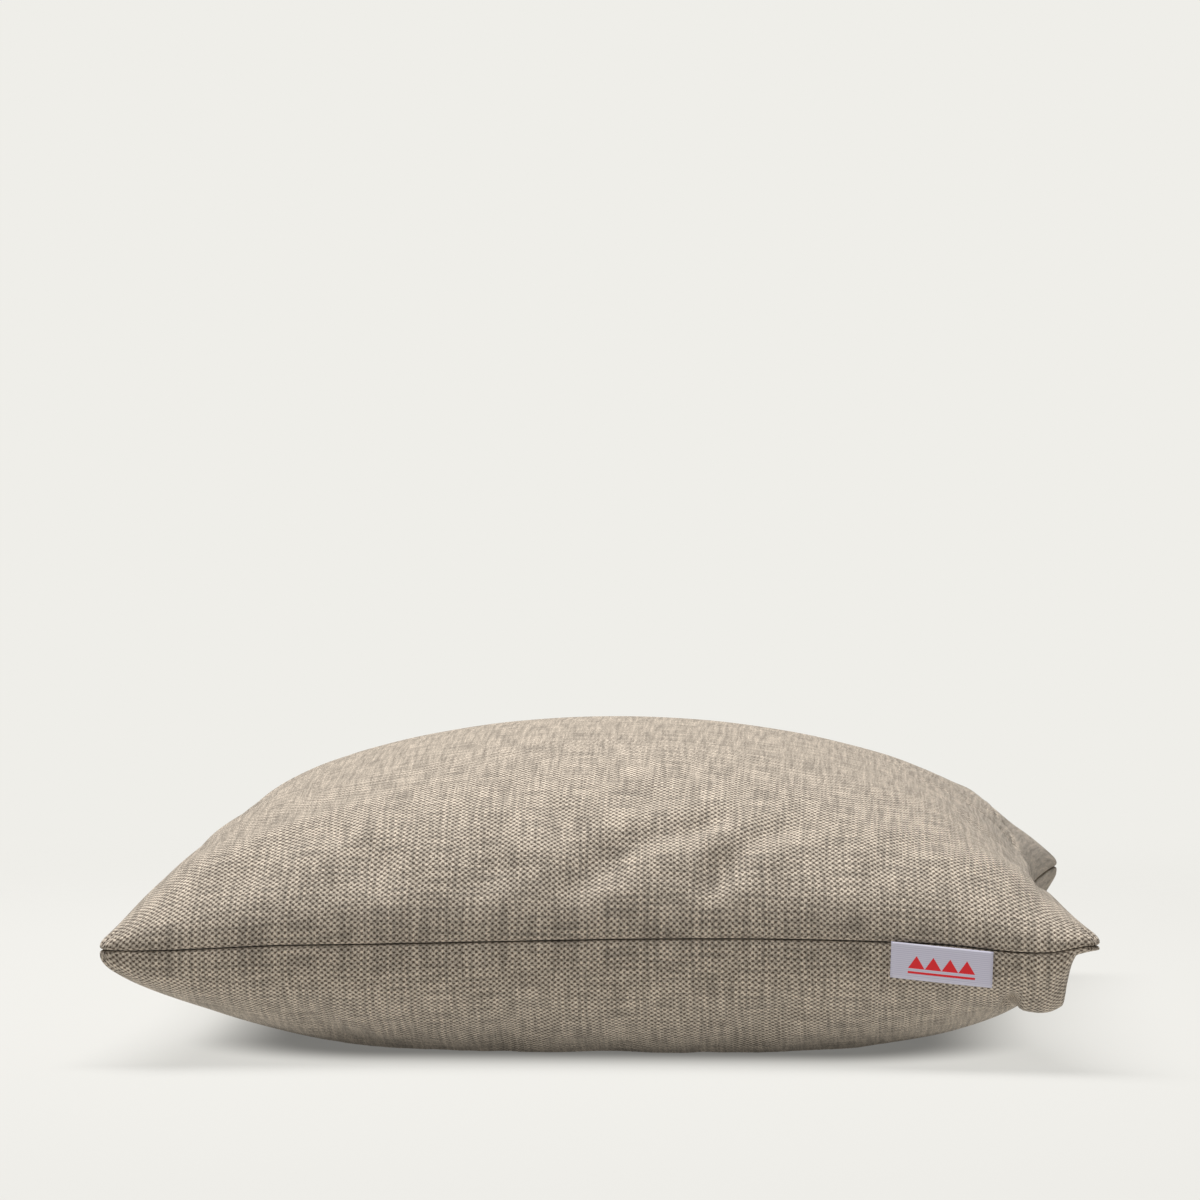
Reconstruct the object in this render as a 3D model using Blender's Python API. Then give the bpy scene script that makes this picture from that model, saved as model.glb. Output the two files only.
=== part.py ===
"""Square camp pillow: a zipped woven cover over a fibre-filled inner casing, with a folded label in the
front seam. Metres, +Z up. The origin is on the floor under the middle of the pillow. The front seam faces
-Y, and the zip closes the back seam."""

import math

import bmesh
import bpy
from mathutils import Matrix, Vector

# The pillow's outer shape
WIDTH = 0.400  # ear to ear, along X
DEPTH = 0.400  # ear to ear, along Y
SEAM_HEIGHT = 0.051  # seam above the floor
CROWN_RISE = 0.080  # crown above the seam
BELLY_DROP = 0.069  # depth of the underside if no floor flattened it
CROWN_POWER = 0.46  # of the crown's curve: smaller is fuller near the seam
BELLY_POWER = 0.38
SIDE_PULL = 0.020  # how far the seam draws in between the ears, at the front and the sides
BACK_PULL = 0.010  # the same along the straight zip
SURFACE_STEPS = 22  # facets across each panel

# Cloth and clearances
GAP = 0.0003  # between pieces that touch
LAYER_GAP = 0.0005  # between two curved layers that lie on each other
COVER_CLOTH = 0.0012
COVER_ALLOWANCE = 0.008  # cloth folded in at the cover's seam
CASING_CLOTH = 0.0006
CASING_ALLOWANCE = 0.005

# Zip in the back seam
ZIP_LENGTH = 0.260
COIL_WIDTH = 0.0016  # one side of the chain, across the seam
COIL_THICKNESS = 0.0020
COIL_SLIT = 0.0011  # room between the two coils for the slider's neck
COIL_SINK = 0.0002  # coil face below the cloth's fold
TAPE_WIDTH = 0.0085
TAPE_THICKNESS = 0.0005
TAPE_CLEARANCE = 0.0006
STOP_LENGTH = 0.0028

# Slider and pull tab
SLIDER_LENGTH = 0.0110
SLIDER_WIDTH = 0.0080
SLIDER_PLATE = 0.0012
SLIDER_BACK_PLATE = 0.0010
SLIDER_BACK_WIDTH = 0.0044
SLIDER_NECK = 0.0005
SLIDER_EDGE = 0.0003
BAIL_LENGTH = 0.0056  # the arch that the pull tab hangs from, along the slider
BAIL_WIDTH = 0.0016
BAIL_WIRE = 0.0008
PULL_LENGTH = 0.0240
PULL_WIDTH = 0.0064
PULL_THICKNESS = 0.0010
PULL_HOLE_LENGTH = 0.0046
PULL_SIDE = 0.0014  # metal left on each side of the hole
PULL_BEVEL = 0.0025

# Label in the front seam
LABEL_FROM_EAR = 0.0605  # its middle, along X
LABEL_WIDTH = 0.041
LABEL_DROP = 0.0145
LABEL_LEAF = 0.0003  # one leaf of the folded tape
ARC_STEPS = 8
SEAM_SAMPLES = 8  # points at which the label is held clear of the curved seam

TAUPE = (0.30, 0.25, 0.20)
OFF_WHITE = (0.78, 0.77, 0.74)
FIBRE_WHITE = (0.86, 0.86, 0.84)
ZIP_BEIGE = (0.36, 0.31, 0.25)
NICKEL = (0.62, 0.60, 0.57)
SATIN_WHITE = (0.72, 0.70, 0.78)


def clear_scene():
    for old in list(bpy.data.objects):
        bpy.data.objects.remove(old, do_unlink=True)


def material(name, colour, roughness, metallic=0.0):
    finish = bpy.data.materials.new(name)
    finish.use_nodes = True
    shader = finish.node_tree.nodes["Principled BSDF"]
    shader.inputs["Base Color"].default_value = (*colour, 1.0)
    shader.inputs["Roughness"].default_value = roughness
    shader.inputs["Metallic"].default_value = metallic
    return finish


def add_object(name, shape, finish, place=None):
    """One named object from a bmesh whose faces are turned outwards."""
    bmesh.ops.recalc_face_normals(shape, faces=shape.faces)
    if shape.calc_volume(signed=True) < 0.0:
        bmesh.ops.reverse_faces(shape, faces=shape.faces)
    mesh = bpy.data.meshes.new(name)
    shape.to_mesh(mesh)
    shape.free()
    if finish:
        mesh.materials.append(finish)
    piece = bpy.data.objects.new(name, mesh)
    if place:
        piece.matrix_world = place
    bpy.context.scene.collection.objects.link(piece)
    return piece


def add_cutter(name, shape, place=None):
    cutter = add_object(name, shape, None, place)
    cutter.hide_render = True
    cutter.display_type = "WIRE"
    return cutter


def boolean(piece, other, operation):
    step = piece.modifiers.new(operation.title(), "BOOLEAN")
    step.operation = operation
    step.object = other


def bevel(piece, width, segments):
    step = piece.modifiers.new("Bevel", "BEVEL")
    step.width = width
    step.segments = segments
    step.limit_method = "ANGLE"


def box_shape(low, high):
    shape = bmesh.new()
    size = Vector(high) - Vector(low)
    middle = (Vector(high) + Vector(low)) / 2
    bmesh.ops.create_cube(shape, size=1.0, matrix=Matrix.Translation(middle) @ Matrix.Diagonal((*size, 1.0)))
    return shape


def extruded_shape(profile, low, high):
    """A closed outline of (y, z) points, carried along X from low to high."""
    shape = bmesh.new()
    outline = shape.faces.new([shape.verts.new((low, y, z)) for y, z in profile])
    sides = bmesh.ops.extrude_face_region(shape, geom=[outline])
    moved = [part for part in sides["geom"] if isinstance(part, bmesh.types.BMVert)]
    bmesh.ops.translate(shape, verts=moved, vec=(high - low, 0.0, 0.0))
    return shape


# Outline and crown


def front_pull(u):
    return SIDE_PULL * (1.0 - u * u)


def back_pull(u):
    """The back seam is straight along the zip and swings out to the ear at each end."""
    straight = (ZIP_LENGTH / 2 + STOP_LENGTH) / (WIDTH / 2)
    past = max(0.0, abs(u) - straight) / (1.0 - straight)
    return BACK_PULL * (1.0 - past * past * (3.0 - 2.0 * past))


def plan_point(u, v, inset):
    """Where the share (u, v) of the half sizes lies in plan, on an outline this far inside the seam."""
    half_x = WIDTH / 2 - inset - SIDE_PULL * (1.0 - v * v)
    pull = back_pull(u) if v > 0.0 else front_pull(u)
    half_y = DEPTH / 2 - inset - pull
    return u * half_x, v * half_y


def swell(u, v, power):
    """Height as a share of the crown's, from 0 at the seam to 1 in the middle."""
    return max(0.0, (1.0 - u * u) * (1.0 - v * v)) ** power


def steps_across():
    """Shares from -1 to 1, closer together near the seam, where the crown is steep."""
    return [math.sin(math.pi * (i / SURFACE_STEPS - 0.5)) for i in range(SURFACE_STEPS + 1)]


def top_height(u, v, face_inset, base):
    rise = SEAM_HEIGHT + CROWN_RISE - face_inset - base
    return base + rise * swell(u, v, CROWN_POWER)


def bottom_height(u, v, face_inset, base):
    """The underside is flat where the floor holds it."""
    drop = base - (SEAM_HEIGHT - BELLY_DROP) - face_inset
    return max(face_inset, base - drop * swell(u, v, BELLY_POWER))


def add_skin(shape, height, side_inset, face_inset, base):
    """One curved skin as a grid, with its rim on the plane z = base. Gives its rim's edges."""
    shares = steps_across()
    grid = bmesh.ops.create_grid(shape, x_segments=SURFACE_STEPS, y_segments=SURFACE_STEPS, size=1.0)
    for vertex in grid["verts"]:
        column = round((vertex.co.x + 1.0) / 2.0 * SURFACE_STEPS)
        row = round((vertex.co.y + 1.0) / 2.0 * SURFACE_STEPS)
        u, v = shares[column], shares[row]
        x, y = plan_point(u, v, side_inset)
        vertex.co = (x, y, height(u, v, face_inset, base))
    corners = set(grid["verts"])
    return [e for e in shape.edges if e.is_boundary and e.verts[0] in corners and e.verts[1] in corners]


def fold_in(shape, rim, inset_from, inset_to, z):
    """The rim's edges carried on to another outline and height. Gives the new rim."""
    moved = bmesh.ops.extrude_edge_only(shape, edges=rim)["geom"]
    for vertex in [part for part in moved if isinstance(part, bmesh.types.BMVert)]:
        u, v = outline_shares(vertex.co.x, vertex.co.y, inset_from)
        x, y = plan_point(u, v, inset_to)
        vertex.co = (x, y, z)
    return [part for part in moved if isinstance(part, bmesh.types.BMEdge)]


def outline_shares(x, y, inset):
    """The shares (u, v) of a point on the outline, where one of the two is 1 or -1."""
    half_x, half_y = WIDTH / 2 - inset, DEPTH / 2 - inset
    u_across = min(1.0, max(-1.0, x / half_x))
    pull = back_pull(u_across) if y > 0.0 else front_pull(u_across)
    if abs(abs(y) - (half_y - pull)) < 1e-6:
        return u_across, math.copysign(1.0, y)
    return math.copysign(1.0, x), y / half_y


def sewn_sheet(name, finish, height, side_inset, face_inset, cloth, allowance, up):
    """A curved sheet of cloth. Its edge turns down to the seam plane, and the allowance lies flat inside."""
    shape = bmesh.new()
    seam_face = SEAM_HEIGHT + up * GAP / 2
    fold_top = seam_face + up * cloth
    allowance_inset = side_inset + allowance
    outer_rim = add_skin(shape, height, side_inset, face_inset, seam_face + up * 2 * cloth)
    rim = fold_in(shape, outer_rim, side_inset, side_inset, seam_face)
    rim = fold_in(shape, rim, side_inset, allowance_inset, seam_face)
    rim = fold_in(shape, rim, allowance_inset, allowance_inset, fold_top)
    fold_in(shape, rim, allowance_inset, side_inset + cloth, fold_top)
    add_skin(shape, height, side_inset + cloth, face_inset + cloth, fold_top)
    bmesh.ops.remove_doubles(shape, verts=shape.verts, dist=1e-6)
    bmesh.ops.dissolve_limit(shape, angle_limit=math.radians(0.1), verts=shape.verts, edges=shape.edges)
    return add_object(name, shape, finish)


# Cover, casing and filling


def build_cover():
    cloth = material("cover_cloth", TAUPE, 0.95)
    slot = zip_slot_cutter()
    for name, height, up in (("top_panel", top_height, 1), ("bottom_panel", bottom_height, -1)):
        panel = sewn_sheet(name, cloth, height, 0.0, 0.0, COVER_CLOTH, COVER_ALLOWANCE, up)
        boolean(panel, slot, "DIFFERENCE")


def casing_insets():
    return COVER_ALLOWANCE + GAP, COVER_CLOTH + LAYER_GAP


def build_casing():
    cloth = material("casing_cloth", OFF_WHITE, 0.9)
    side, face = casing_insets()
    for name, height, up in (
        ("inner_casing_top", top_height, 1),
        ("inner_casing_bottom", bottom_height, -1),
    ):
        sewn_sheet(name, cloth, height, side, face, CASING_CLOTH, CASING_ALLOWANCE, up)


def build_filling():
    casing_side, casing_face = casing_insets()
    side = casing_side + CASING_ALLOWANCE + GAP
    face = casing_face + CASING_CLOTH + LAYER_GAP
    shape = bmesh.new()
    add_skin(shape, top_height, side, face, SEAM_HEIGHT)
    add_skin(shape, bottom_height, side, face, SEAM_HEIGHT)
    bmesh.ops.remove_doubles(shape, verts=shape.verts, dist=1e-6)
    add_object("fibre_fill", shape, material("polyester_fibre", FIBRE_WHITE, 1.0))


# Zip


def back_edge():
    """The y of the cloth's fold along the zip."""
    return DEPTH / 2 - BACK_PULL


def coil_outer_z():
    return COIL_SLIT / 2 + COIL_WIDTH


def slot_half_height():
    return coil_outer_z() + GAP


def zip_slot_cutter():
    reach = ZIP_LENGTH / 2 + GAP
    depth = COVER_ALLOWANCE + COVER_CLOTH
    low = (-reach, back_edge() - depth, SEAM_HEIGHT - slot_half_height())
    high = (reach, back_edge() + depth, SEAM_HEIGHT + slot_half_height())
    return add_cutter("zip_slot", box_shape(low, high))


def inner_wall_y(x, height, side):
    """Where the cover's inner wall stands at the back, this far above (1) or below (-1) the seam."""
    rise, power = (CROWN_RISE, CROWN_POWER) if side > 0 else (BELLY_DROP, BELLY_POWER)
    u = x / (WIDTH / 2 - COVER_CLOTH)
    share = ((height / (rise - COVER_CLOTH)) ** (1.0 / power)) / (1.0 - u * u)
    return math.sqrt(1.0 - share) * (DEPTH / 2 - COVER_CLOTH - back_pull(u))


def zip_tape(name, finish, side):
    """A flat strip just inside the wall, from the coil's edge to the far edge of the tape."""
    low = slot_half_height()
    columns = 12
    shape = bmesh.new()
    rows = []
    for height in (low, low + TAPE_WIDTH):
        row = []
        for i in range(columns + 1):
            x = ZIP_LENGTH * (i / columns - 0.5)
            y = inner_wall_y(x, height, side) - TAPE_CLEARANCE
            z = SEAM_HEIGHT + side * height
            row.append((shape.verts.new((x, y, z)), shape.verts.new((x, y - TAPE_THICKNESS, z))))
        rows.append(row)
    near, far = rows
    for i in range(columns):
        for a, b in ((0, 0), (1, 1)):
            shape.faces.new((near[i][a], near[i + 1][a], far[i + 1][b], far[i][b]))
        for row in rows:
            shape.faces.new((row[i][0], row[i + 1][0], row[i + 1][1], row[i][1]))
    for i in (0, columns):
        shape.faces.new((near[i][0], far[i][0], far[i][1], near[i][1]))
    add_object(name, shape, finish)


def chain_box(low_x, high_x, low_z, high_z):
    outer = back_edge() - COIL_SINK
    low = (low_x, outer - COIL_THICKNESS, SEAM_HEIGHT + low_z)
    high = (high_x, outer, SEAM_HEIGHT + high_z)
    return box_shape(low, high)


def build_zip():
    nylon = material("zip_nylon", ZIP_BEIGE, 0.6)
    ribbon = material("zip_ribbon", ZIP_BEIGE, 0.85)
    metal = material("zip_metal", NICKEL, 0.35, 1.0)
    end = ZIP_LENGTH / 2
    coil_end = end - STOP_LENGTH - GAP
    slit, outer = COIL_SLIT / 2, coil_outer_z()
    for name, side in (("top", 1), ("bottom", -1)):
        zip_tape("zip_tape_" + name, ribbon, side)
        low_z, high_z = sorted((side * slit, side * outer))
        coil = add_object("zip_coil_" + name, chain_box(-coil_end, coil_end, low_z, high_z), nylon)
        bevel(coil, SLIDER_EDGE, 2)
        stop = add_object("zip_end_stop_" + name, chain_box(-end, -end + STOP_LENGTH, low_z, high_z), metal)
        bevel(stop, SLIDER_EDGE, 2)
    bottom_stop = add_object("zip_bottom_stop", chain_box(end - STOP_LENGTH, end, -outer, outer), metal)
    bevel(bottom_stop, SLIDER_EDGE, 2)


def slider_start():
    return -ZIP_LENGTH / 2 + STOP_LENGTH + GAP + SLIDER_LENGTH / 2


def plate_face():
    """The outer face of the slider, measured out from the cloth's fold."""
    return GAP + SLIDER_PLATE


def pull_axis():
    """The pull tab's axis, measured out from the cloth's fold."""
    return plate_face() + GAP + PULL_THICKNESS / 2


def build_slider():
    """Two plates joined by a neck that runs between the coils, and the bail on the outer plate."""
    metal = material("slider_metal", NICKEL, 0.35, 1.0)
    place = Matrix.Translation((slider_start(), back_edge(), SEAM_HEIGHT))
    inner = -COIL_SINK - COIL_THICKNESS - 2 * GAP
    back = inner - SLIDER_BACK_PLATE
    half, neck, back_half = SLIDER_WIDTH / 2, SLIDER_NECK / 2, SLIDER_BACK_WIDTH / 2
    side = [(plate_face(), half), (GAP, half), (GAP, neck), (inner, neck), (inner, back_half), (back, back_half)]
    profile = side + [(y, -z) for y, z in reversed(side)]
    slider = add_object("zip_slider", extruded_shape(profile, -SLIDER_LENGTH / 2, SLIDER_LENGTH / 2), metal, place)
    boolean(slider, bail_shape(place), "UNION")


def bail_shape(place):
    outer_x, inner_x = BAIL_LENGTH / 2, BAIL_LENGTH / 2 - BAIL_WIRE
    foot = plate_face() - SLIDER_PLATE / 2
    under = pull_axis() + PULL_THICKNESS / 2 + 2 * GAP
    arch = under + BAIL_WIRE
    legs = [(outer_x, foot), (outer_x, arch), (-outer_x, arch), (-outer_x, foot)]
    legs += [(-inner_x, foot), (-inner_x, under), (inner_x, under), (inner_x, foot)]
    shape = bmesh.new()
    face = shape.faces.new([shape.verts.new((x, y, -BAIL_WIDTH / 2)) for x, y in legs])
    grown = bmesh.ops.extrude_face_region(shape, geom=[face])
    moved = [part for part in grown["geom"] if isinstance(part, bmesh.types.BMVert)]
    bmesh.ops.translate(shape, verts=moved, vec=(0.0, 0.0, BAIL_WIDTH))
    return add_cutter("slider_bail", shape, place)


def build_pull():
    """The tab lies along the zip. Its cross bar, at the origin, turns under the slider's bail."""
    metal = material("pull_metal", NICKEL, 0.3, 1.0)
    bar = PULL_THICKNESS / 2
    place = Matrix.Translation((slider_start(), back_edge() + pull_axis(), SEAM_HEIGHT))
    low = (-bar, -PULL_THICKNESS / 2, -PULL_WIDTH / 2)
    high = (PULL_LENGTH, PULL_THICKNESS / 2, PULL_WIDTH / 2)
    shape = box_shape(low, high)
    ends = [e for e in shape.edges if min(v.co.x for v in e.verts) > PULL_LENGTH - GAP]
    across = [e for e in ends if abs(e.verts[0].co.y - e.verts[1].co.y) > PULL_THICKNESS / 2]
    bmesh.ops.bevel(shape, geom=across, offset=PULL_BEVEL, segments=4, profile=0.5, affect="EDGES")
    pull = add_object("zip_pull", shape, metal, place)
    hole_half = PULL_WIDTH / 2 - PULL_SIDE
    hole_low = (bar, -PULL_THICKNESS, -hole_half)
    hole_high = (bar + PULL_HOLE_LENGTH, PULL_THICKNESS, hole_half)
    boolean(pull, add_cutter("pull_hole", box_shape(hole_low, hole_high), place), "DIFFERENCE")


# Label, sewn into the front seam


def seam_point(x):
    """A point of the front seam, on the straight stretches between the panels' own corners."""
    corners = [plan_point(u, -1.0, 0.0) for u in steps_across()]
    for (x_from, y_from), (x_to, y_to) in zip(corners, corners[1:]):
        if x <= x_to:
            break
    y = y_from + (y_to - y_from) * (x - x_from) / (x_to - x_from)
    return Vector((x, y, SEAM_HEIGHT))


def label_frame(out):
    """Axes for the label: X along the seam, -Y out of the pillow and Z up. The origin is the label's upper
    edge, this far out from the outermost point of the seam behind it."""
    start = WIDTH / 2 - LABEL_FROM_EAR - LABEL_WIDTH / 2
    points = [seam_point(start + LABEL_WIDTH * i / SEAM_SAMPLES) for i in range(SEAM_SAMPLES + 1)]
    chord = points[-1] - points[0]
    along = chord.normalized()
    up = Vector((0.0, 0.0, 1.0))
    inwards = up.cross(along)
    reach = max((points[0] - point).dot(inwards) for point in points)
    place = Matrix((along, inwards, up)).transposed().to_4x4()
    place.translation = points[0] + chord / 2 - inwards * (reach + out)
    return place


def arc(centre_y, centre_z, radius_y, radius_z, start, end):
    """Points of an ellipse's arc, from one angle to another in degrees."""
    points = []
    for i in range(ARC_STEPS + 1):
        angle = math.radians(start + (end - start) * i / ARC_STEPS)
        points.append((centre_y + radius_y * math.cos(angle), centre_z + radius_z * math.sin(angle)))
    return points


def build_label():
    """A tape folded in two, its fold down and its cut ends at the seam. It turns about its upper edge."""
    satin = material("label_satin", SATIN_WHITE, 0.4)
    half = LABEL_LEAF + GAP / 2
    fold_z = half - LABEL_DROP
    outer = arc(0.0, fold_z, half, half, 180, 360)
    inner = arc(0.0, fold_z, GAP / 2, GAP / 2, 360, 180)
    profile = [(-half, 0.0)] + outer + [(half, 0.0), (GAP / 2, 0.0)] + inner + [(-GAP / 2, 0.0)]
    shape = extruded_shape(profile, -LABEL_WIDTH / 2, LABEL_WIDTH / 2)
    add_object("side_label", shape, satin, label_frame(GAP + half))


def main():
    clear_scene()
    build_cover()
    build_casing()
    build_filling()
    build_zip()
    build_slider()
    build_pull()
    build_label()
    for piece in bpy.context.scene.objects:
        piece.data.shade_smooth()
        piece.data.set_sharp_from_angle(angle=math.radians(30))


main()
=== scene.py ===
"""The looks of a square camp pillow: a coarse woven cover, puffed over a fibre filling, with a folded satin
label in the front seam and a coil zip in the back seam. Metres, +Z up, front seam towards -Y."""

import math

import bmesh
import bpy
import numpy as np
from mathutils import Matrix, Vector


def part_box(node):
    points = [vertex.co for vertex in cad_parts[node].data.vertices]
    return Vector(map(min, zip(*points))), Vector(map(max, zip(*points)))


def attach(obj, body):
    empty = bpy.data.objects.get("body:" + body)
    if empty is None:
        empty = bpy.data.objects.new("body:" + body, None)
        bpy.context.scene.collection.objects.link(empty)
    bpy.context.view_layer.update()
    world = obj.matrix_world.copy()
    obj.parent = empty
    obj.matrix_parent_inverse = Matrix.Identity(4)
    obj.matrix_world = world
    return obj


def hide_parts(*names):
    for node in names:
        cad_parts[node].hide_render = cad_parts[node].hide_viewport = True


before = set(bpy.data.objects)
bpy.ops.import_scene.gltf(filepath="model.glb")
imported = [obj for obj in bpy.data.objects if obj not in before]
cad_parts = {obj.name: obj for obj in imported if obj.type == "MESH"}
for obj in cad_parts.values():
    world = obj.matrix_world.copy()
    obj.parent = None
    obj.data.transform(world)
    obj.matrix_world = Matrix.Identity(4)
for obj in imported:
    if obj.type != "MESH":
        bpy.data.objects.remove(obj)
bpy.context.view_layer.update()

# ---------------------------------------------------------------- sizes, from the frame
MM = 0.001
TOP_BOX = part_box("top_panel")
BOTTOM_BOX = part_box("bottom_panel")
LABEL_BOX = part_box("side_label")
COIL_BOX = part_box("zip_coil_top")
STOP_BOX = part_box("zip_bottom_stop")

HALF_WIDTH = TOP_BOX[1][0]
HALF_DEPTH = -TOP_BOX[0][1]
SEAM_Z = (TOP_BOX[0][2] + BOTTOM_BOX[1][2]) / 2
CROWN_RISE = TOP_BOX[1][2] - SEAM_Z
BELLY_DROP = SEAM_Z + 18 * MM  # as deep as it would hang with no floor under it
CROWN_POWER = 0.46  # the lower, the steeper the cloth rises from the seam
BELLY_POWER = 0.38
SIDE_PULL = 20 * MM  # how far the seam draws in between the ears
COIL_SINK = 0.2 * MM  # the coils' face lies this far inside the cloth's fold
COIL_ROOM = 0.3 * MM
BACK_PULL = HALF_DEPTH - COIL_BOX[1][1] - COIL_SINK
ZIP_HALF = STOP_BOX[1][0]
ZIP_GAP = COIL_BOX[1][2] - SEAM_Z + COIL_ROOM
CLOTH = 0.9 * MM
CASING_CLOTH = 0.5 * MM
SEAM_ROLL = 1.25 * MM  # radius of the cloth where it turns in at the seam
SEAM_CLEARANCE = 0.2 * MM
ALLOWANCE = 4 * MM
EAR_RADIUS = 3.5 * MM
EAR_START = 2.2  # the rounding of an ear starts this many radii from the corner
RIGHT_EAR_REACH = 5.0 * MM  # how far the front ears are drawn out, beside the label and away from it
LEFT_EAR_REACH = 1.5 * MM
EAR_SHARPNESS = 12  # the higher, the nearer the corner it is drawn out
EAR_FLATNESS = 0.8  # how much of the bottom's swelling the front right ear loses
FOLD_FOOT = 23.5 * MM  # how low the slack fold by the front right ear hangs
FOLD_MIDDLE = 0.1795  # where along the seam it hangs lowest
FOLD_HALF = 0.0105
FOLD_RISE = 3.5 * MM  # how much higher its foot is at its sides
VALLEY_BOW = 0.06  # sideways bow of a valley, as a share of its length
VALLEY_RIDGE = 0.35  # height of the ridges beside a valley, as a share of its depth
PANEL_STEPS = 190
SLACK_STEPS = 110
SLACK_FRAMES = 20
OVERSIZE = 0.03  # how much too large the blown-up cloth is
UNEVENNESS = 0.6 * MM
MOST_GATHER = 2.4 * MM
FINE_ROUNDS = 2  # rounds of softening that take off a fold's jags, and that leave only the swelling
BROAD_ROUNDS = 60
BOTTOM_GATHER_SHARE = 0.4

THREAD = 1.33 * MM  # the cover's weave, from one warp thread to the next
PICK = 1.17 * MM  # and from one weft thread to the next
THREAD_WANDER = 1.5 * MM
# A straight Wave texture has bands this far apart at a scale of 1, and a diagonal one 1.15 times as far.
BAND_SPACING = math.pi / 10
LABEL_RIBS = 0.8 * MM
TAPE_BANDS = 0.8 * MM
TWIST_BANDS = 1.0 * MM

CASING_STEPS = 96
CASING_SIDE = 8.3 * MM  # how far inside the cover's seam the casing's seam lies
CASING_FACE = 1.8 * MM
FIBRE_SIDE = 14 * MM
FIBRE_FACE = 3.0 * MM
STITCH_PITCH = 3.2 * MM
STITCH_FROM_FOLD = 6 * MM
STITCH_SIZE = (0.78 * STITCH_PITCH, 0.7 * MM, 0.75 * MM)
STITCH_PROUD = 0.36 * MM  # how far a stitch's middle lies above the cloth
STITCH_ROWS = 40  # the rows of the panel nearest the back seam, where the stitches are looked for
COIL_PITCH = 1.5 * MM
COIL_LOOP = 1.0 * MM
COIL_WIRE = 0.33 * MM
COIL_HOOK = 0.45 * MM  # how far each coil's heads reach past the seam's plane
EDGE_ANGLE = math.radians(35.0)  # an edge sharper than this is rounded

LABEL_WIDTH = math.hypot(LABEL_BOX[1][0] - LABEL_BOX[0][0], LABEL_BOX[1][1] - LABEL_BOX[0][1])
LABEL_DROP = LABEL_BOX[1][2] - LABEL_BOX[0][2]
LABEL_LEAF = 0.3 * MM
LEAF_SPREAD = 0.8  # each leaf lies this share of that off the label's middle plane
LABEL_SLANT = 5.7 * MM  # the label's left end lies this far behind its right end
LABEL_LEAN = 0.085  # and this share of its length higher
LABEL_SKEW = 0.035  # its free edge lies to the left by this share of its drop
LABEL_LEFT = Vector((LABEL_BOX[0][0], LABEL_BOX[0][1] + LABEL_SLANT, LABEL_BOX[1][2]))
LABEL_RIGHT = Vector((LABEL_BOX[1][0], LABEL_BOX[0][1], LABEL_BOX[1][2]))
LABEL_LOWERED = 0.9 * MM  # the seam dips where the label is sewn in

FLOOR_HALF = 1.3
FLOOR_GLOW = 0.72
CAMERA_PLACE = (0.108, -2.357, 0.261)
CAMERA_TURN = math.radians(2.8)
CAMERA_DIP = math.radians(1.906)
CAMERA_LENS = 162.3


# ---------------------------------------------------------------- small helpers


def linear(code):
    """An sRGB hex colour as linear light, with alpha."""
    parts = [int(code[i : i + 2], 16) / 255 for i in (0, 2, 4)]
    return (*[c / 12.92 if c <= 0.04045 else ((c + 0.055) / 1.055) ** 2.4 for c in parts], 1.0)


def finish_material(name):
    """A new material with its Principled shader, and the tree to add nodes to."""
    made = bpy.data.materials.new(name)
    made.use_nodes = True
    return made, made.node_tree, made.node_tree.nodes["Principled BSDF"]


def node(tree, kind, settings=None, **inputs):
    """Adds one node. Settings are its properties, and inputs are values or (node, output) links by socket
    name, where an underscore stands for a space and _0, _1 and _2 for a socket's number."""
    made = tree.nodes.new(kind)
    for key, value in (settings or {}).items():
        setattr(made, key, value)
    for key, value in inputs.items():
        socket = made.inputs[int(key[1:])] if key[1:].isdigit() else made.inputs[key.replace("_", " ")]
        if isinstance(value, bpy.types.NodeSocket):
            tree.links.new(value, socket)
        else:
            socket.default_value = value
    return made


def mesh_object(name, points, faces, finish):
    """A new smooth-shaded piece, with its place in its mesh."""
    mesh = bpy.data.meshes.new(name)
    mesh.from_pydata([tuple(point) for point in points], [], faces)
    if finish:
        mesh.materials.append(finish)
    piece = bpy.data.objects.new(name, mesh)
    bpy.context.scene.collection.objects.link(piece)
    mesh.shade_smooth()
    return piece


def smooth_step(low, high, value):
    share = np.clip((value - low) / (high - low), 0.0, 1.0)
    return share * share * (3.0 - 2.0 * share)


# ---------------------------------------------------------------- pillow surface


def back_pull(u):
    """How far the back seam is drawn in: fully along the zip, and less and less towards the ears."""
    straight = ZIP_HALF / HALF_WIDTH
    past = np.maximum(0.0, np.abs(u) - straight) / (1.0 - straight)
    return BACK_PULL * (1.0 - past * past * (3.0 - 2.0 * past))


def plan(u, v, inset=0.0):
    """Plan position of the shares (u, v) of the half sizes."""
    pull = np.where(v > 0.0, back_pull(u), SIDE_PULL * (1.0 - u * u))
    x = u * (HALF_WIDTH - inset - SIDE_PULL * (1.0 - v * v))
    y = v * (HALF_DEPTH - inset - pull)
    # The two front ears are drawn out a little, the one beside the label most.
    reach = np.where(v < 0.0, np.where(u > 0.0, RIGHT_EAR_REACH, LEFT_EAR_REACH), 0.0)
    return x + np.sign(u) * reach * np.abs(u * v) ** EAR_SHARPNESS, y


def rounded(u, v):
    """Shares with each corner of the square brought in to a round ear."""
    reach = EAR_RADIUS / HALF_WIDTH * EAR_START
    a = np.maximum(0.0, np.abs(u) - (1.0 - reach))
    b = np.maximum(0.0, np.abs(v) - (1.0 - reach))
    length = np.hypot(a, b)
    factor = np.where(length > 0.0, np.maximum(a, b) / np.maximum(length, 1e-9), 1.0)
    return (
        np.sign(u) * (np.minimum(np.abs(u), 1.0 - reach) + a * factor),
        np.sign(v) * (np.minimum(np.abs(v), 1.0 - reach) + b * factor),
    )


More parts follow.
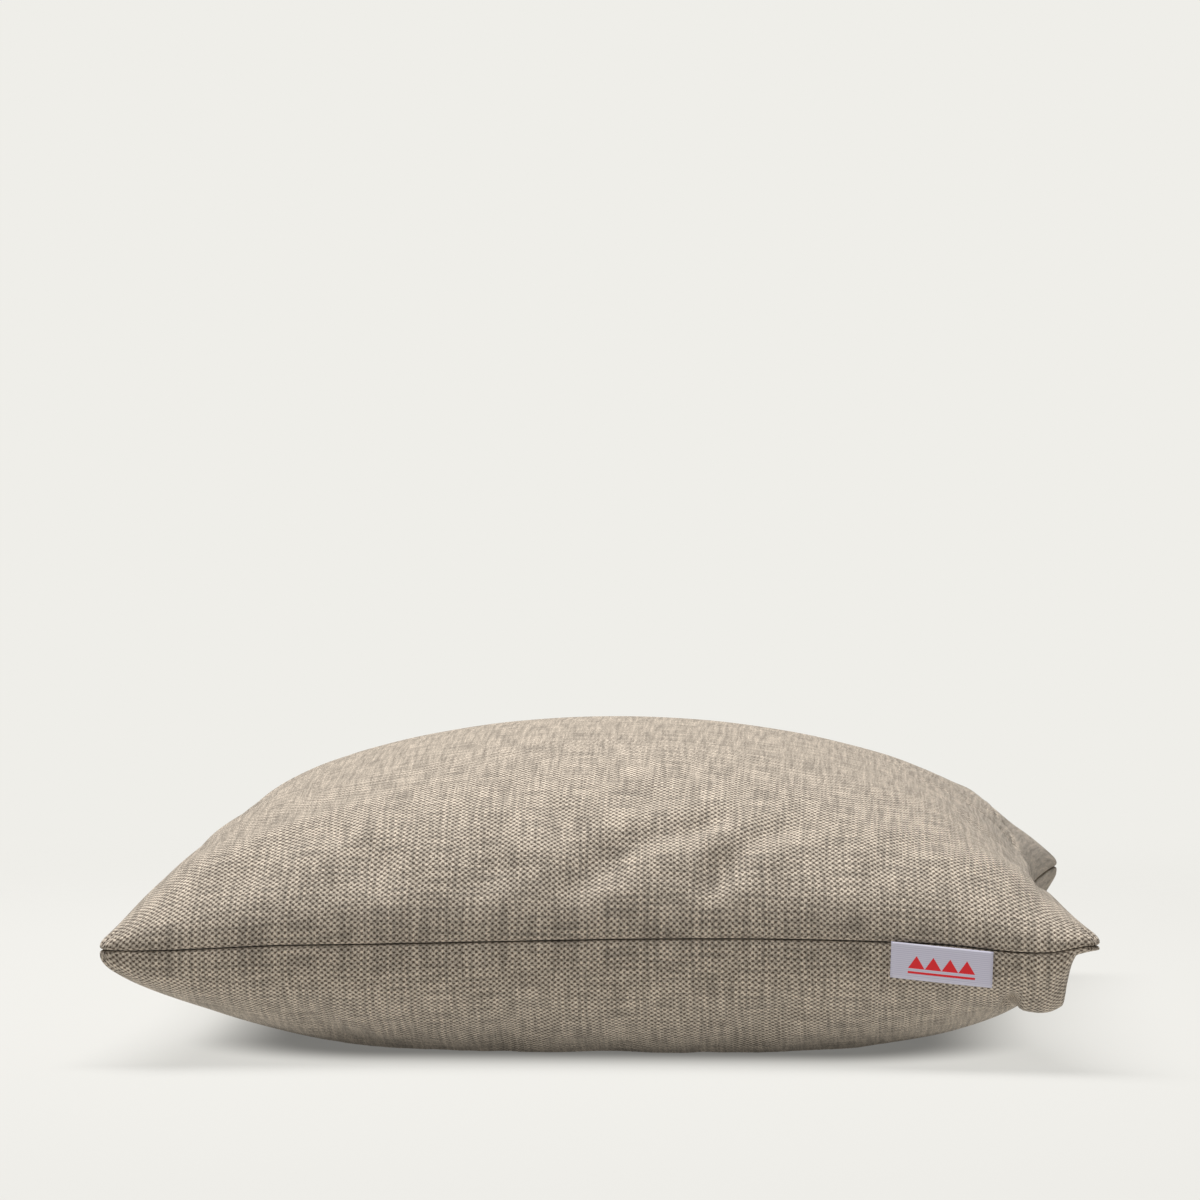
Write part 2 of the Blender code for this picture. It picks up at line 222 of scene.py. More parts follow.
# Soft valleys in the cloth, each from one plan point to another, with its depth and half width. They fan out
# from the seam, where the cloth is gathered, and one runs along the top's right-hand shoulder.
TOP_VALLEYS = [
    ((-0.022, -0.186), (0.052, -0.150), 2.6 * MM, 6 * MM),
    ((0.040, -0.185), (0.082, -0.148), 2.6 * MM, 5.5 * MM),
    ((-0.050, -0.182), (-0.034, -0.150), 1.3 * MM, 7 * MM),
    ((0.158, 0.065), (0.179, -0.140), 5.2 * MM, 3.2 * MM),
    ((-0.150, -0.178), (-0.118, -0.150), 1.6 * MM, 8 * MM),
    ((0.112, -0.178), (0.140, -0.146), 1.3 * MM, 7 * MM),
    ((-0.090, -0.182), (-0.080, -0.156), 1.1 * MM, 8 * MM),
    ((0.100, 0.182), (0.060, 0.140), 1.4 * MM, 8 * MM),
    ((-0.080, 0.184), (-0.110, 0.140), 1.4 * MM, 8 * MM),
    ((-0.176, 0.070), (-0.140, 0.040), 1.4 * MM, 8 * MM),
]
BOTTOM_VALLEYS = [
    ((0.1695, -0.190), (0.167, -0.158), 4.5 * MM, 2.6 * MM),
    ((-0.120, -0.176), (-0.090, -0.130), 1.2 * MM, 8 * MM),
    ((-0.020, -0.178), (-0.040, -0.140), 0.9 * MM, 8 * MM),
    ((0.080, -0.176), (0.060, -0.140), 0.9 * MM, 8 * MM),
    ((0.060, 0.184), (0.090, 0.140), 1.4 * MM, 8 * MM),
    ((-0.060, 0.184), (-0.050, 0.140), 1.4 * MM, 8 * MM),
    ((-0.176, 0.040), (-0.140, 0.060), 1.4 * MM, 8 * MM),
]


def valley_depth(x, y, valleys):
    """Depth below the plain crown of all the valleys together. Each bows a little sideways, fades at both
    ends and has a low ridge along either side."""
    depth = np.zeros_like(x)
    for (x0, y0), (x1, y1), deep, half in valleys:
        along = np.array([x1 - x0, y1 - y0])
        length = np.hypot(*along)
        along /= length
        run = (x - x0) * along[0] + (y - y0) * along[1]
        across = (x - x0) * along[1] - (y - y0) * along[0]
        bow = across + VALLEY_BOW * length * np.sin(np.pi * np.clip(run / length, 0, 1))
        ends = smooth_step(-0.15 * length, 0.25 * length, run)
        ends = ends * (1.0 - smooth_step(0.6 * length, 1.25 * length, run))
        ridge = VALLEY_RIDGE * np.exp(-(((np.abs(bow) - 2.0 * half) / half) ** 2))
        depth += deep * ends * (np.exp(-((bow / half) ** 2)) - ridge)
    return depth


def seam_wave(x, y):
    """How far the seam wanders up or down from its plane. Along the zip it runs straight."""
    # In millimetres. The front dips to the right of the label, rises at the right ear and drops at the left.
    front = 1.5 * np.sin((x + 0.02) * 17.0) - 0.8
    front = front - 2.0 * np.exp(-(((x - 0.172) / 0.022) ** 2)) + 2.2 * smooth_step(0.182, 0.200, x)
    front = front - 2.5 * smooth_step(0.12, 0.19, -x)
    sides = 1.2 * np.sin(y * 27.0 + np.sign(x)) + 0.8 * np.sin(y * 61.0)
    back = smooth_step(-0.20, -0.13, y)
    level = 1.0 - smooth_step(0.10, 0.17, y)
    return (front * (1.0 - back) + sides * back * level) * MM


def zip_opening(x, y):
    """How far each panel's fold stands off the seam's plane to leave room for the coils."""
    along = 1.0 - smooth_step(ZIP_HALF - 1.0 * MM, ZIP_HALF + 4.0 * MM, np.abs(x))
    return ZIP_GAP * along * smooth_step(0.90, 0.97, y / HALF_DEPTH + BACK_PULL / HALF_DEPTH)


def panel_grid(steps):
    """Shares from -1 to 1 both ways, closer together near the seam, where the cloth turns most."""
    shares = np.sin(math.pi * (np.arange(steps + 1) / steps - 0.5))
    return np.meshgrid(shares, shares)


def plain_surface(u, v, up, side_inset=0.0, face_inset=0.0):
    """The pillow's smooth outer shape at the shares (u, v), for the top (1) or the bottom (-1)."""
    x, y = plan(*rounded(u, v), side_inset)
    swell = np.maximum(0.0, (1.0 - u * u) * (1.0 - v * v))
    rise, power = (CROWN_RISE, CROWN_POWER) if up > 0 else (BELLY_DROP, BELLY_POWER)
    z = SEAM_Z + up * (SEAM_ROLL + (rise - SEAM_ROLL - face_inset) * swell**power)
    if up < 0:
        z = np.maximum(z, face_inset)
    return np.stack([x, y, z], axis=-1)


def slack_cover():
    """How far a slightly oversize cover moves off the plain shape when it is blown up, on an even grid of
    shares for each panel. The spare cloth buckles into soft gathers."""
    steps = SLACK_STEPS
    shares = np.linspace(-1.0, 1.0, steps + 1)
    u, v = np.meshgrid(shares, shares)
    plain = {up: plain_surface(u, v, up) for up in (1, -1)}
    across = steps + 1
    index = {1: np.arange(across * across).reshape(across, across)}
    index[-1] = index[1].copy()
    inner = np.arange((steps - 1) ** 2).reshape(steps - 1, steps - 1)
    index[-1][1:-1, 1:-1] = across * across + inner
    points = np.concatenate([plain[1].reshape(-1, 3), plain[-1][1:-1, 1:-1].reshape(-1, 3)])
    faces = []
    for up, grid in index.items():
        for row, column in np.ndindex(steps, steps):
            low, high = grid[row, column : column + 2], grid[row + 1, column : column + 2]
            ring = (low[0], low[1], high[1], high[0])
            faces.append([int(corner) for corner in (ring if up > 0 else ring[::-1])])
    # A slight unevenness, so that the folds don't fall in mirror image.
    x, y = points[:, 0], points[:, 1]
    uneven = np.sin(61.0 * x + 1.3) * np.sin(47.0 * y + 0.7) + 0.7 * np.sin(137.0 * x + 83.0 * y)
    uneven = uneven + 0.6 * np.sin(171.0 * y - 59.0 * x)
    start = points.copy()
    start[:, 2] += UNEVENNESS * uneven
    bag = mesh_object("blown_up_cover", start, faces, None)
    cloth = bag.modifiers.new("Cloth", "CLOTH")
    cloth.settings.quality = 5
    cloth.settings.mass = 0.3
    cloth.settings.tension_stiffness = 20.0
    cloth.settings.compression_stiffness = 20.0
    cloth.settings.shear_stiffness = 12.0
    cloth.settings.bending_stiffness = 0.5
    cloth.settings.shrink_min = -OVERSIZE
    cloth.settings.use_pressure = True
    cloth.settings.uniform_pressure_force = 10.0
    cloth.settings.effector_weights.gravity = 0.0
    cloth.collision_settings.use_collision = False
    for moment in range(1, SLACK_FRAMES + 1):
        bpy.context.scene.frame_set(moment)
    apply_modifiers(bag)
    moved = np.empty(len(points) * 3)
    bag.data.vertices.foreach_get("co", moved)
    moved = moved.reshape(-1, 3) - points
    bpy.context.scene.frame_set(1)
    bpy.data.objects.remove(bag, do_unlink=True)
    return {up: moved[grid] for up, grid in index.items()}


def on_panel(offsets, u, v):
    """The offsets of an even grid of shares, read at (u, v) between its points."""
    steps = offsets.shape[0] - 1
    column = np.clip((u + 1.0) / 2.0 * steps, 0.0, steps - 1e-6)
    row = np.clip((v + 1.0) / 2.0 * steps, 0.0, steps - 1e-6)
    i, j = row.astype(int), column.astype(int)
    a, b = (row - i)[..., None], (column - j)[..., None]
    near = offsets[i, j] * (1 - b) + offsets[i, j + 1] * b
    far = offsets[i + 1, j] * (1 - b) + offsets[i + 1, j + 1] * b
    return near * (1 - a) + far * a


def softened(offsets, rounds):
    """A grid of offsets with each point moved halfway to the mean of its neighbours, this many times."""
    for _ in range(rounds):
        edged = np.pad(offsets, ((1, 1), (1, 1), (0, 0)), mode="edge")
        around = edged[:-2, 1:-1] + edged[2:, 1:-1] + edged[1:-1, :-2] + edged[1:-1, 2:]
        offsets = (around + 4 * offsets) / 8
    return offsets


def slack_fold(x, y):
    """Where a slack fold of the bottom hangs beside the front right ear, from 0 to 1."""
    across = smooth_step(0.162, 0.176, x) * (1.0 - smooth_step(0.188, 0.1925, x))
    return across * smooth_step(-0.193, -0.174, y) * (1.0 - smooth_step(-0.165, -0.120, y))


def outward_normals(grid, up):
    sideways = np.gradient(grid, axis=1)
    backwards = np.gradient(grid, axis=0)
    normals = np.cross(sideways, backwards) * up
    return normals / np.maximum(np.linalg.norm(normals, axis=-1, keepdims=True), 1e-12)


def gathers(moved):
    """The short folds of the blown-up cover, without its overall swelling. They are full near the seam,
    nearly die out towards the crown, where the cloth is drawn tight, and leave the zip alone."""
    steps = moved.shape[0] - 1
    shares = np.linspace(-1.0, 1.0, steps + 1)
    u, v = np.meshgrid(shares, shares)
    swell = np.maximum(0.0, (1.0 - u * u) * (1.0 - v * v))
    folds = softened(moved, FINE_ROUNDS) - softened(moved, BROAD_ROUNDS)
    folds = np.tanh(folds / MOST_GATHER) * MOST_GATHER
    share = smooth_step(0.01, 0.12, swell) * (1.0 - 0.85 * smooth_step(0.35, 0.85, swell))
    share = share * (1.0 - smooth_step(0.90, 0.96, v))
    return folds * share[..., None]


def panel_surface(up, steps, side_inset=0.0, face_inset=0.0):
    """Points of the top (1) or bottom (-1) skin, row by row, this far inside the cover's outer face, and
    their places in the cloth."""
    u, v = panel_grid(steps)
    grid = plain_surface(u, v, up, side_inset, face_inset)
    x, y = grid[..., 0].copy(), grid[..., 1].copy()
    swell = np.maximum(0.0, (1.0 - u * u) * (1.0 - v * v))
    if GATHERS:
        grid += on_panel(GATHERS[up], u, v)
    if up < 0:
        fold = slack_fold(x, y) * smooth_step(0.0, 0.010, swell)
        foot = FOLD_FOOT + FOLD_RISE * ((x - FOLD_MIDDLE) / FOLD_HALF) ** 2
        grid[..., 2] -= fold * np.maximum(0.0, grid[..., 2] - foot)
        # The ear itself stays flat above the fold.
        flat = EAR_FLATNESS * smooth_step(0.188, 0.193, x) * smooth_step(0.16, 0.18, -y)
        grid[..., 2] += flat * np.maximum(0.0, SEAM_Z - SEAM_ROLL - grid[..., 2])
    lengths = cloth_lengths(grid)
    rim = smooth_step(0.0, 0.06, swell)
    depth = valley_depth(x, y, TOP_VALLEYS if up > 0 else BOTTOM_VALLEYS) * rim
    grid -= outward_normals(grid, up) * depth[..., None]
    near_seam = 1.0 - smooth_step(0.0, 0.55, swell)
    grid[..., 2] += seam_wave(x, y) * near_seam
    grid[..., 2] += up * zip_opening(x, y) * (1.0 - smooth_step(0.0, 0.08, swell))
    if up < 0:
        grid[..., 2] = np.maximum(grid[..., 2], face_inset)
    return grid, lengths


def grid_faces(steps, turned):
    across = steps + 1
    faces = []
    for row, column in np.ndindex(steps, steps):
        corner = row * across + column
        face = (corner, corner + 1, corner + across + 1, corner + across)
        faces.append(face[::-1] if turned else face)
    return faces


def rim_order(steps):
    """Row and column of each point round the panel's edge, counterclockwise from above."""
    run = np.arange(steps)
    rows = np.concatenate([0 * run, run, 0 * run + steps, steps - run])
    columns = np.concatenate([run, 0 * run + steps, steps - run, 0 * run])
    return rows, columns


def cloth_lengths(grid):
    """Distances measured in the cloth from the panel's middle lines, which its threads follow."""
    middle = grid.shape[0] // 2
    along = np.zeros(grid.shape[:2])
    along[:, 1:] = np.cumsum(np.linalg.norm(np.diff(grid, axis=1), axis=2), axis=1)
    along -= along[:, middle : middle + 1]
    across = np.zeros(grid.shape[:2])
    across[1:, :] = np.cumsum(np.linalg.norm(np.diff(grid, axis=0), axis=2), axis=0)
    across -= across[middle : middle + 1, :]
    return np.stack([along, across], axis=-1)


def turned_in_edge(up, steps, side_inset, roll, allowance):
    """Rings that carry the skin's edge round its fold and in to the end of the seam allowance, with how
    far each ring lies from the edge along the cloth, and which way its cloth runs outwards."""
    rows, columns = rim_order(steps)
    u, v = (grid[rows, columns] for grid in panel_grid(steps))
    x, y = plan(*rounded(u, v), side_inset)
    level = SEAM_Z + seam_wave(x, y) + up * (zip_opening(x, y) + SEAM_CLEARANCE)
    rings, lengths = [], []
    for angle in np.linspace(0.0, math.pi / 2, 6)[1:]:
        inwards = side_inset + roll * (1.0 - math.cos(angle))
        ring_x, ring_y = plan(*rounded(u, v), inwards)
        rings.append(np.stack([ring_x, ring_y, level + up * roll * (1.0 - math.sin(angle))], axis=-1))
        lengths.append(roll * angle)
    end_x, end_y = plan(*rounded(u, v), side_inset + roll + allowance)
    rings.append(np.stack([end_x, end_y, level], axis=-1))
    lengths.append(lengths[-1] + allowance)
    outwards = np.stack([np.where(np.abs(share) > 0.9999, np.sign(share), 0.0) for share in (u, v)], axis=-1)
    return rings, lengths, outwards


def add_cloth_map(piece, places):
    """The weave's map, in metres of cloth."""
    layer = piece.data.uv_layers.new(name="cloth")
    order = np.empty(len(piece.data.loops), int)
    piece.data.loops.foreach_get("vertex_index", order)
    layer.data.foreach_set("uv", places[order].astype(np.float32).ravel())


def apply_modifiers(piece):
    bpy.ops.object.select_all(action="DESELECT")
    bpy.context.view_layer.objects.active = piece
    piece.select_set(True)
    for modifier in list(piece.modifiers):
        bpy.ops.object.modifier_apply(modifier=modifier.name)


def add_skin(name, up, finish, steps, thickness, side_inset=0.0, face_inset=0.0):
    """One sewn sheet of the pillow: its outer skin with the edge turned in, given its thickness inwards."""
    grid, in_cloth = panel_surface(up, steps, side_inset, face_inset)
    faces = grid_faces(steps, up < 0)
    points = [grid.reshape(-1, 3)]
    places = [in_cloth.reshape(-1, 2)]
    rows, columns = rim_order(steps)
    edge = rows * (steps + 1) + columns
    edge_places = places[0][edge]
    start = (steps + 1) ** 2
    rings, lengths, outwards = turned_in_edge(up, steps, side_inset, SEAM_ROLL, ALLOWANCE)
    for number, (ring, length) in enumerate(zip(rings, lengths)):
        points.append(ring)
        places.append(edge_places + outwards * length)
        outer = start + number * len(edge) + np.arange(len(edge))
        inner = edge if number == 0 else outer - len(edge)
        for i in range(len(edge)):
            j = (i + 1) % len(edge)
            face = (int(inner[i]), int(outer[i]), int(outer[j]), int(inner[j]))
            faces.append(face[::-1] if up < 0 else face)
    piece = mesh_object(name, np.concatenate(points), faces, finish)
    add_cloth_map(piece, np.concatenate(places))
    solid = piece.modifiers.new("Thickness", "SOLIDIFY")
    solid.thickness = thickness
    solid.offset = -1.0
    apply_modifiers(piece)
    return piece


# ---------------------------------------------------------------- materials


def cover_weave():
    """Coarse plain weave of solution-dyed outdoor polyester: light tan floats in a checker, with the brown of
    the crossing threads and painted shade in the gaps between them. Matt, with a little fuzz."""
    made, tree, shader = finish_material("outdoor_polyester_plain_weave")
    place = node(tree, "ShaderNodeUVMap", {"uv_map": "cloth"}).outputs[0]
    # The threads wander a little from straight.
    wander = node(
        tree, "ShaderNodeTexNoise", {"noise_dimensions": "2D"},
        Vector=place, Scale=55.0, Detail=4.0,
    )
    shift = node(
        tree, "ShaderNodeVectorMath", {"operation": "SUBTRACT"},
        _0=wander.outputs["Color"], _1=(0.5, 0.5, 0.5),
    )
    bent = node(
        tree, "ShaderNodeVectorMath", {"operation": "MULTIPLY_ADD"},
        _0=shift.outputs[0], _1=(THREAD_WANDER,) * 3, _2=place,
    )
    pitch = (1.0 / THREAD, 1.0 / PICK, 1.0)
    threads = node(tree, "ShaderNodeVectorMath", {"operation": "MULTIPLY"}, _0=bent.outputs[0], _1=pitch)
    axes = node(tree, "ShaderNodeSeparateXYZ", Vector=threads.outputs[0])
    waves = []
    for axis in ("X", "Y"):
        turn = node(tree, "ShaderNodeMath", {"operation": "MULTIPLY"}, _0=axes.outputs[axis], _1=math.pi)
        waves.append(node(tree, "ShaderNodeMath", {"operation": "SINE"}, _0=turn.outputs[0]).outputs[0])
    checker = node(tree, "ShaderNodeMath", {"operation": "MULTIPLY"}, _0=waves[0], _1=waves[1]).outputs[0]
    # Each thread has its own lightness, which changes slowly along it.
    slubs = []
    for axis, along in (("X", (1.0, 0.06, 1.0)), ("Y", (0.09, 1.0, 1.0))):
        stretched = node(
            tree, "ShaderNodeVectorMath", {"operation": "MULTIPLY"},
            _0=threads.outputs[0], _1=along,
        )
        slub = node(
            tree, "ShaderNodeTexNoise", {"noise_dimensions": "2D"},
            Vector=stretched.outputs[0], Scale=0.8, Detail=2.0,
        )
        slubs.append(slub.outputs["Fac"])
    slub = node(tree, "ShaderNodeMath", {"operation": "ADD"}, _0=slubs[0], _1=slubs[1]).outputs[0]
    fleck = node(
        tree, "ShaderNodeTexNoise", {"noise_dimensions": "2D"},
        Vector=threads.outputs[0], Scale=2.3, Detail=2.0,
    )
    uneven = node(
        tree, "ShaderNodeMath", {"operation": "MULTIPLY_ADD"},
        _0=fleck.outputs["Fac"], _1=2.5, _2=checker,
    )
    cover = node(
        tree, "ShaderNodeMapRange", {"interpolation_type": "SMOOTHSTEP"},
        Value=uneven.outputs[0], From_Min=0.35, From_Max=1.85,
    )
    shade = node(
        tree, "ShaderNodeMapRange",
        Value=slub, From_Min=0.7, From_Max=1.3, To_Min=0.66, To_Max=1.34,
    )
    # The dark colour is partly the brown of the crossing threads and partly painted shade in the gaps between
    # the floats.
    colour = node(
        tree, "ShaderNodeMix", {"data_type": "RGBA"},
        Factor=cover.outputs[0], _6=linear("584a3e"), _7=linear("cfc2b1"),
    )
    toned = node(
        tree, "ShaderNodeVectorMath", {"operation": "SCALE"},
        _0=colour.outputs[2], Scale=shade.outputs[0],
    )
    tree.links.new(toned.outputs[0], shader.inputs["Base Color"])
    relief = node(
        tree, "ShaderNodeMapRange", {"interpolation_type": "SMOOTHSTEP"},
        Value=uneven.outputs[0], From_Min=-0.1, From_Max=2.3,
    )
    bump = node(tree, "ShaderNodeBump", Strength=0.7, Distance=0.45 * MM, Height=relief.outputs[0])
    tree.links.new(bump.outputs[0], shader.inputs["Normal"])
    shader.inputs["Roughness"].default_value = 0.92
    shader.inputs["Specular IOR Level"].default_value = 0.25
    shader.inputs["Sheen Weight"].default_value = 0.12
    shader.inputs["Sheen Roughness"].default_value = 0.6
    return made


def label_satin():
    """White polyester satin tape, woven tight: smooth, with a soft shine along its weft and a printed row of
    little red hills over a red line."""
    made, tree, shader = finish_material("polyester_satin_tape")
    place = node(tree, "ShaderNodeUVMap", {"uv_map": "cloth"}).outputs[0]
    millimetres = node(tree, "ShaderNodeVectorMath", {"operation": "SCALE"}, _0=place, Scale=1000.0)
    axes = node(tree, "ShaderNodeSeparateXYZ", Vector=millimetres.outputs[0])
    hill = node(tree, "ShaderNodeMath", {"operation": "PINGPONG"}, _0=axes.outputs["X"], _1=3.4)
    crest = node(tree, "ShaderNodeMath", {"operation": "MULTIPLY_ADD"}, _0=hill.outputs[0], _1=1.5, _2=4.6)
    under = node(
        tree, "ShaderNodeMath", {"operation": "LESS_THAN"},
        _0=axes.outputs["Y"], _1=crest.outputs[0],
    )
    over = node(tree, "ShaderNodeMath", {"operation": "GREATER_THAN"}, _0=axes.outputs["Y"], _1=4.6)
    line = node(tree, "ShaderNodeMath", {"operation": "COMPARE"}, _0=axes.outputs["Y"], _1=3.0, _2=0.45)
    reach = node(tree, "ShaderNodeMath", {"operation": "ABSOLUTE"}, _0=axes.outputs["X"])
    inside = node(tree, "ShaderNodeMath", {"operation": "LESS_THAN"}, _0=reach.outputs[0], _1=13.6)
    hills = node(tree, "ShaderNodeMath", {"operation": "MULTIPLY"}, _0=under.outputs[0], _1=over.outputs[0])
    marks = node(tree, "ShaderNodeMath", {"operation": "MAXIMUM"}, _0=hills.outputs[0], _1=line.outputs[0])
    printed = node(
        tree, "ShaderNodeMath", {"operation": "MULTIPLY"},
        _0=marks.outputs[0], _1=inside.outputs[0],
    )
    # Threads every 0.2 mm, drawn every 0.8 mm so that they show.
    ribs = node(
        tree, "ShaderNodeTexWave", {"bands_direction": "Y"},
        Vector=place, Scale=BAND_SPACING / LABEL_RIBS, Distortion=0.6, Detail=1.0,
    )
    tone = node(
        tree, "ShaderNodeMix", {"data_type": "RGBA"},
        Factor=ribs.outputs["Fac"], _6=linear("cdc9dc"), _7=linear("dedbea"),
    )
    inked = node(
        tree, "ShaderNodeMix", {"data_type": "RGBA"},
        Factor=printed.outputs[0], _6=tone.outputs[2], _7=linear("ee1c26"),
    )
    tree.links.new(inked.outputs[2], shader.inputs["Base Color"])
    bump = node(tree, "ShaderNodeBump", Strength=0.25, Distance=0.05 * MM, Height=ribs.outputs["Fac"])
    tree.links.new(bump.outputs[0], shader.inputs["Normal"])
    shader.inputs["Roughness"].default_value = 0.42
    shader.inputs["Sheen Weight"].default_value = 0.2
    return made


def casing_nonwoven():
    """Spunbond polypropylene non-woven: off-white, matt, with a fine bonded speckle about 1 mm apart."""
    made, tree, shader = finish_material("spunbond_nonwoven")
    place = node(tree, "ShaderNodeUVMap", {"uv_map": "cloth"}).outputs[0]
    bonds = node(
        tree, "ShaderNodeTexVoronoi", {"voronoi_dimensions": "2D"},
        Vector=place, Scale=1.0 / (1.0 * MM), Randomness=0.3,
    )
    tone = node(
        tree, "ShaderNodeMapRange",
        Value=bonds.outputs["Distance"], From_Max=0.5, To_Min=0.0, To_Max=1.0,
    )
    colour = node(
        tree, "ShaderNodeMix", {"data_type": "RGBA"},
        Factor=tone.outputs[0], _6=linear("d5d2ca"), _7=linear("e6e4de"),
    )
    tree.links.new(colour.outputs[2], shader.inputs["Base Color"])
    bump = node(tree, "ShaderNodeBump", Strength=0.4, Distance=0.1 * MM, Height=tone.outputs[0])
    tree.links.new(bump.outputs[0], shader.inputs["Normal"])
    shader.inputs["Roughness"].default_value = 0.85
    return made


def loose_fibre():
    """Hollow polyester fibre: bright white, matt and tufted, in clumps about 8 mm across."""
    made, tree, shader = finish_material("hollow_polyester_fibre")
    place = node(tree, "ShaderNodeTexCoord").outputs["Object"]
    clumps = node(
        tree, "ShaderNodeTexNoise",
        Vector=place, Scale=1.0 / (8 * MM), Detail=6.0, Roughness=0.65,
    )
    colour = node(
        tree, "ShaderNodeMix", {"data_type": "RGBA"},
        Factor=clumps.outputs["Fac"], _6=linear("dedddb"), _7=linear("f6f6f4"),
    )
    tree.links.new(colour.outputs[2], shader.inputs["Base Color"])
    bump = node(tree, "ShaderNodeBump", Strength=0.8, Distance=1.5 * MM, Height=clumps.outputs["Fac"])
    tree.links.new(bump.outputs[0], shader.inputs["Normal"])
    shader.inputs["Roughness"].default_value = 1.0
    shader.inputs["Sheen Weight"].default_value = 0.3
    return made


def zip_tape_weave():
    """Woven polyester zip tape, dyed to match the cover: fine slanting ribs. Its threads lie 0.4 mm apart,
    and the ribs are drawn 0.9 mm apart so that they show."""
    made, tree, shader = finish_material("woven_zip_tape")
    place = node(tree, "ShaderNodeTexCoord").outputs["Object"]
    threads = node(
        tree, "ShaderNodeTexWave", {"bands_direction": "DIAGONAL"},
        Vector=place, Scale=BAND_SPACING / TAPE_BANDS, Distortion=1.0, Detail=2.0,
    )
    colour = node(
        tree, "ShaderNodeMix", {"data_type": "RGBA"},
        Factor=threads.outputs["Fac"], _6=linear("5d5040"), _7=linear("8a7b67"),
    )
    tree.links.new(colour.outputs[2], shader.inputs["Base Color"])
    bump = node(tree, "ShaderNodeBump", Strength=0.5, Distance=0.1 * MM, Height=threads.outputs["Fac"])
    tree.links.new(bump.outputs[0], shader.inputs["Normal"])
    shader.inputs["Roughness"].default_value = 0.85
    return made


def zip_nylon():
    """Extruded nylon monofilament, dyed taupe: smooth, slightly waxy, a little lighter in worn patches."""
    made, tree, shader = finish_material("nylon_monofilament")
    place = node(tree, "ShaderNodeTexCoord").outputs["Object"]
    worn = node(tree, "ShaderNodeTexNoise", Vector=place, Scale=1.0 / (3 * MM), Detail=3.0)
    colour = node(
        tree, "ShaderNodeMix", {"data_type": "RGBA"},
        Factor=worn.outputs["Fac"], _6=linear("6e5f4c"), _7=linear("9a8a75"),
    )
    tree.links.new(colour.outputs[2], shader.inputs["Base Color"])
    shader.inputs["Roughness"].default_value = 0.45
    return made


def nickel_plate():
    """Bright nickel on die-cast zinc, tumbled: soft-edged reflections, fine scratches 0.3 mm apart and a few
    dull spots."""
    made, tree, shader = finish_material("nickel_plated_zinc")
    place = node(tree, "ShaderNodeTexCoord").outputs["Object"]
    long_way = node(tree, "ShaderNodeVectorMath", {"operation": "MULTIPLY"}, _0=place, _1=(0.08, 1.0, 1.0))
    scratches = node(
        tree, "ShaderNodeTexNoise",
        Vector=long_way.outputs[0], Scale=1.0 / (0.3 * MM), Detail=4.0,
    )
    dull = node(tree, "ShaderNodeTexNoise", Vector=place, Scale=1.0 / (2 * MM), Detail=3.0)
    rough = node(
        tree, "ShaderNodeMapRange",
        Value=dull.outputs["Fac"], From_Min=0.35, From_Max=0.7, To_Min=0.24, To_Max=0.42,
    )
    tree.links.new(rough.outputs[0], shader.inputs["Roughness"])
    bump = node(tree, "ShaderNodeBump", Strength=0.12, Distance=0.05 * MM, Height=scratches.outputs["Fac"])
    tree.links.new(bump.outputs[0], shader.inputs["Normal"])
    shader.inputs["Base Color"].default_value = linear("bdb9b2")
    shader.inputs["Metallic"].default_value = 1.0
    return made


def sewing_thread():
    """Bonded polyester thread, brown, two-ply: its twist shows as slanting bands, about 0.5 mm apart and
    drawn 1.2 mm apart so that they show."""
    made, tree, shader = finish_material("bonded_polyester_thread")
    place = node(tree, "ShaderNodeTexCoord").outputs["Object"]
    twist = node(
        tree, "ShaderNodeTexWave", {"bands_direction": "DIAGONAL"},
        Vector=place, Scale=BAND_SPACING / TWIST_BANDS,
    )
    colour = node(
        tree, "ShaderNodeMix", {"data_type": "RGBA"},
        Factor=twist.outputs["Fac"], _6=linear("4d3f2f"), _7=linear("7b6a54"),
    )
    tree.links.new(colour.outputs[2], shader.inputs["Base Color"])
    shader.inputs["Roughness"].default_value = 0.6
    return made


# ---------------------------------------------------------------- light, floor and camera


def add_light(name, place, aim, size, power):
    lamp = bpy.data.lights.new(name, "AREA")
    lamp.shape = "RECTANGLE"
    lamp.size, lamp.size_y = size
    lamp.energy = power
    holder = bpy.data.objects.new(name, lamp)
    holder.location = place
    holder.rotation_euler = (Vector(aim) - Vector(place)).to_track_quat("-Z", "Y").to_euler()
    bpy.context.scene.collection.objects.link(holder)


def add_studio():
    """A pale backdrop that lights the pillow only weakly, a softbox overhead and a weak fill in front."""
    scene = bpy.context.scene
    scene.view_settings.view_transform = "Standard"
    world = bpy.data.worlds.new("studio")
    world.use_nodes = True
    scene.world = world
    tree = world.node_tree
    sky = tree.nodes["Background"]
    sky.inputs["Color"].default_value = linear("efeee9")
    ray = node(tree, "ShaderNodeLightPath")
    level = node(tree, "ShaderNodeMapRange", Value=ray.outputs["Is Camera Ray"], To_Min=0.17, To_Max=1.0)
    tree.links.new(level.outputs[0], sky.inputs["Strength"])
    add_light("overhead_softbox", (-0.3, 0.15, 2.0), (0.0, 0.0, 0.0), (1.1, 2.2), 66.0)
    add_light("front_fill", (-0.1, -2.3, 1.5), (0.0, 0.0, 0.05), (1.6, 1.2), 6.8)


